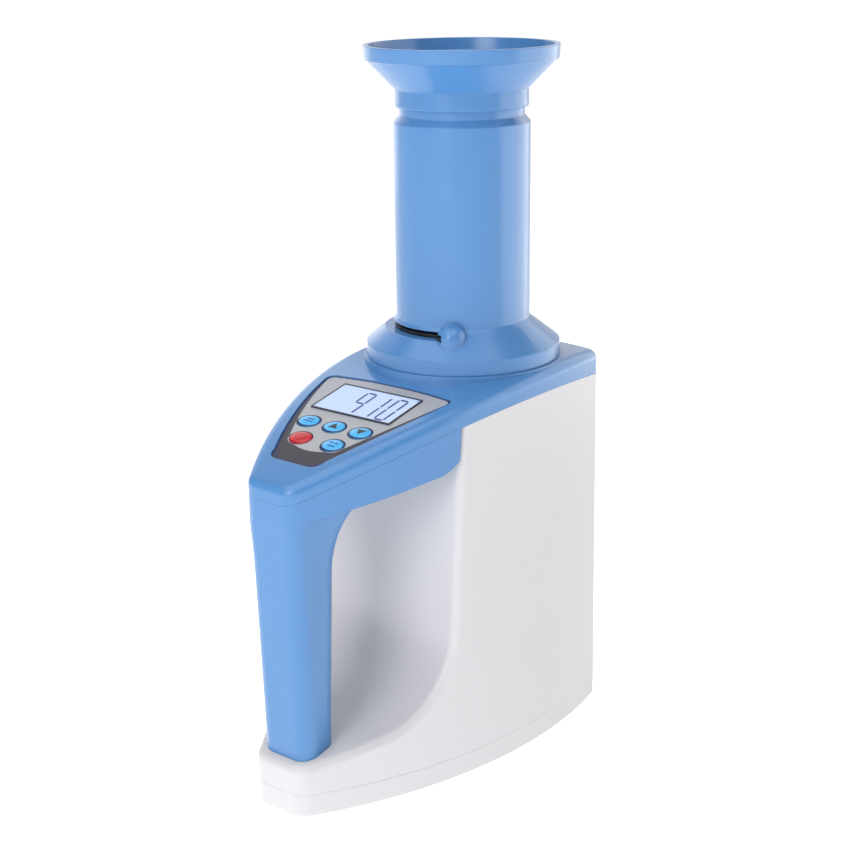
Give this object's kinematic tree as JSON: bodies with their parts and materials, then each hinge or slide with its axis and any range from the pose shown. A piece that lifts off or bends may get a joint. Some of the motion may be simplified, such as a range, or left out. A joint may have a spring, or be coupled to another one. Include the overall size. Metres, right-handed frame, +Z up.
{
  "type": "grain moisture meter",
  "caption": "Hand-carried grain moisture meter: blue cover and grip on a white boat-shaped body, sloped display panel with keys, and an upright drop barrel with a swing gate and loading funnel.",
  "frame": {"origin": "on the ground plane, under the common axis of the drop barrel, the funnel and the sensor cup", "axes": "+Z up along the barrel, +Y to the rear, +X to the right of a person reading the display"},
  "size_m": [0.0974, 0.1845, 0.3098],
  "materials": {
    "blue_plastic": "smooth moulded, light blue",
    "white_plastic": "smooth moulded, white",
    "panel_film": "silver grey film with a dark border",
    "window": "clear window with a black frame",
    "circuit_board": "green solder mask",
    "backlight": "white light guide",
    "lcd_glass": "polarised liquid crystal glass",
    "switch_body": "black moulded switches",
    "key_blue": "cyan blue keys",
    "key_red": "red key",
    "gate_black": "black sheet",
    "steel": "plain steel",
    "screw_steel": "zinc plated screws",
    "aluminium": "turned and milled aluminium",
    "insulator": "natural insulating plastic",
    "cell_sleeve": "printed battery sleeve",
    "spring_steel": "plated contact metal",
    "holder_plastic": "black battery holder",
    "rubber": "soft black rubber",
    "ribbon": "grey flat cable"
  },
  "bodies": {
    "housing": {"base_plate": "white_plastic", "body_shell": "white_plastic", "handle_shell": "blue_plastic", "top_cover": "blue_plastic", "panel_overlay": "panel_film", "display_lens": "window", "main_board": "circuit_board", "backlight": "backlight", "lcd_module": "lcd_glass", "key_switches": "switch_body", "board_screws": "screw_steel", "sensor_board": "circuit_board", "board_standoffs": "screw_steel", "sensor_cup": "aluminium", "sensor_base": "insulator", "centre_electrode": "aluminium", "temperature_probe": "steel", "weighing_platform": "aluminium", "load_cell": "aluminium", "load_cell_bridge": "steel", "platform_screws": "screw_steel", "battery_holder": "holder_plastic", "battery_cell_1": "cell_sleeve", "battery_cell_2": "cell_sleeve", "battery_cell_3": "cell_sleeve", "battery_cell_4": "cell_sleeve", "battery_springs": "spring_steel", "battery_plates": "spring_steel", "rubber_foot_1": "rubber", "rubber_foot_2": "rubber", "rubber_foot_3": "rubber", "rubber_foot_4": "rubber", "base_screws": "screw_steel", "cover_screws": "screw_steel", "handle_screws": "screw_steel", "ribbon_cable": "ribbon"},
    "key_function_body": {"key_function": "key_blue"},
    "key_up_body": {"key_up": "key_blue"},
    "key_down_body": {"key_down": "key_blue"},
    "key_power_body": {"key_power": "key_red"},
    "key_select_body": {"key_select": "key_blue"},
    "barrel": {"drop_barrel": "blue_plastic", "gate_pivot_pin": "steel"},
    "gate": {"gate_plate": "gate_black", "gate_tab": "gate_black"},
    "funnel_body": {"funnel": "blue_plastic"},
    "battery_door": {"battery_cover": "white_plastic"}
  },
  "joints": [
    {"name": "barrel_lift", "type": "slide", "parent": "housing", "child": "barrel", "axis": [0, 0, 1], "range_m": [0, 0.08]},
    {"name": "funnel_lift", "type": "slide", "parent": "barrel", "child": "funnel_body", "axis": [0, 0, 1], "range_m": [0, 0.06]},
    {"name": "gate_swing", "type": "hinge", "parent": "barrel", "child": "gate", "pos_m": [0.01322, -0.02969, 0.18845], "axis": [0, 0, 1], "range_deg": [0, 115]},
    {"name": "battery_door_hinge", "type": "hinge", "parent": "housing", "child": "battery_door", "pos_m": [0, -0.0227, 0.002], "axis": [-1, 0, 0], "range_deg": [0, 70]},
    {"name": "key_function_press", "type": "slide", "parent": "housing", "child": "key_function_body", "axis": [0, 0.2879, -0.9577], "range_m": [0, 0.0006], "stiffness_N_per_m": 2500, "springref_m": -0.0003},
    {"name": "key_up_press", "type": "slide", "parent": "housing", "child": "key_up_body", "axis": [0, 0.2879, -0.9577], "range_m": [0, 0.0006], "stiffness_N_per_m": 2500, "springref_m": -0.0003},
    {"name": "key_down_press", "type": "slide", "parent": "housing", "child": "key_down_body", "axis": [0, 0.2879, -0.9577], "range_m": [0, 0.0006], "stiffness_N_per_m": 2500, "springref_m": -0.0003},
    {"name": "key_power_press", "type": "slide", "parent": "housing", "child": "key_power_body", "axis": [0, 0.3212, -0.947], "range_m": [0, 0.0006], "stiffness_N_per_m": 2500, "springref_m": -0.0003},
    {"name": "key_select_press", "type": "slide", "parent": "housing", "child": "key_select_body", "axis": [0, 0.3212, -0.947], "range_m": [0, 0.0006], "stiffness_N_per_m": 2500, "springref_m": -0.0003}
  ]
}
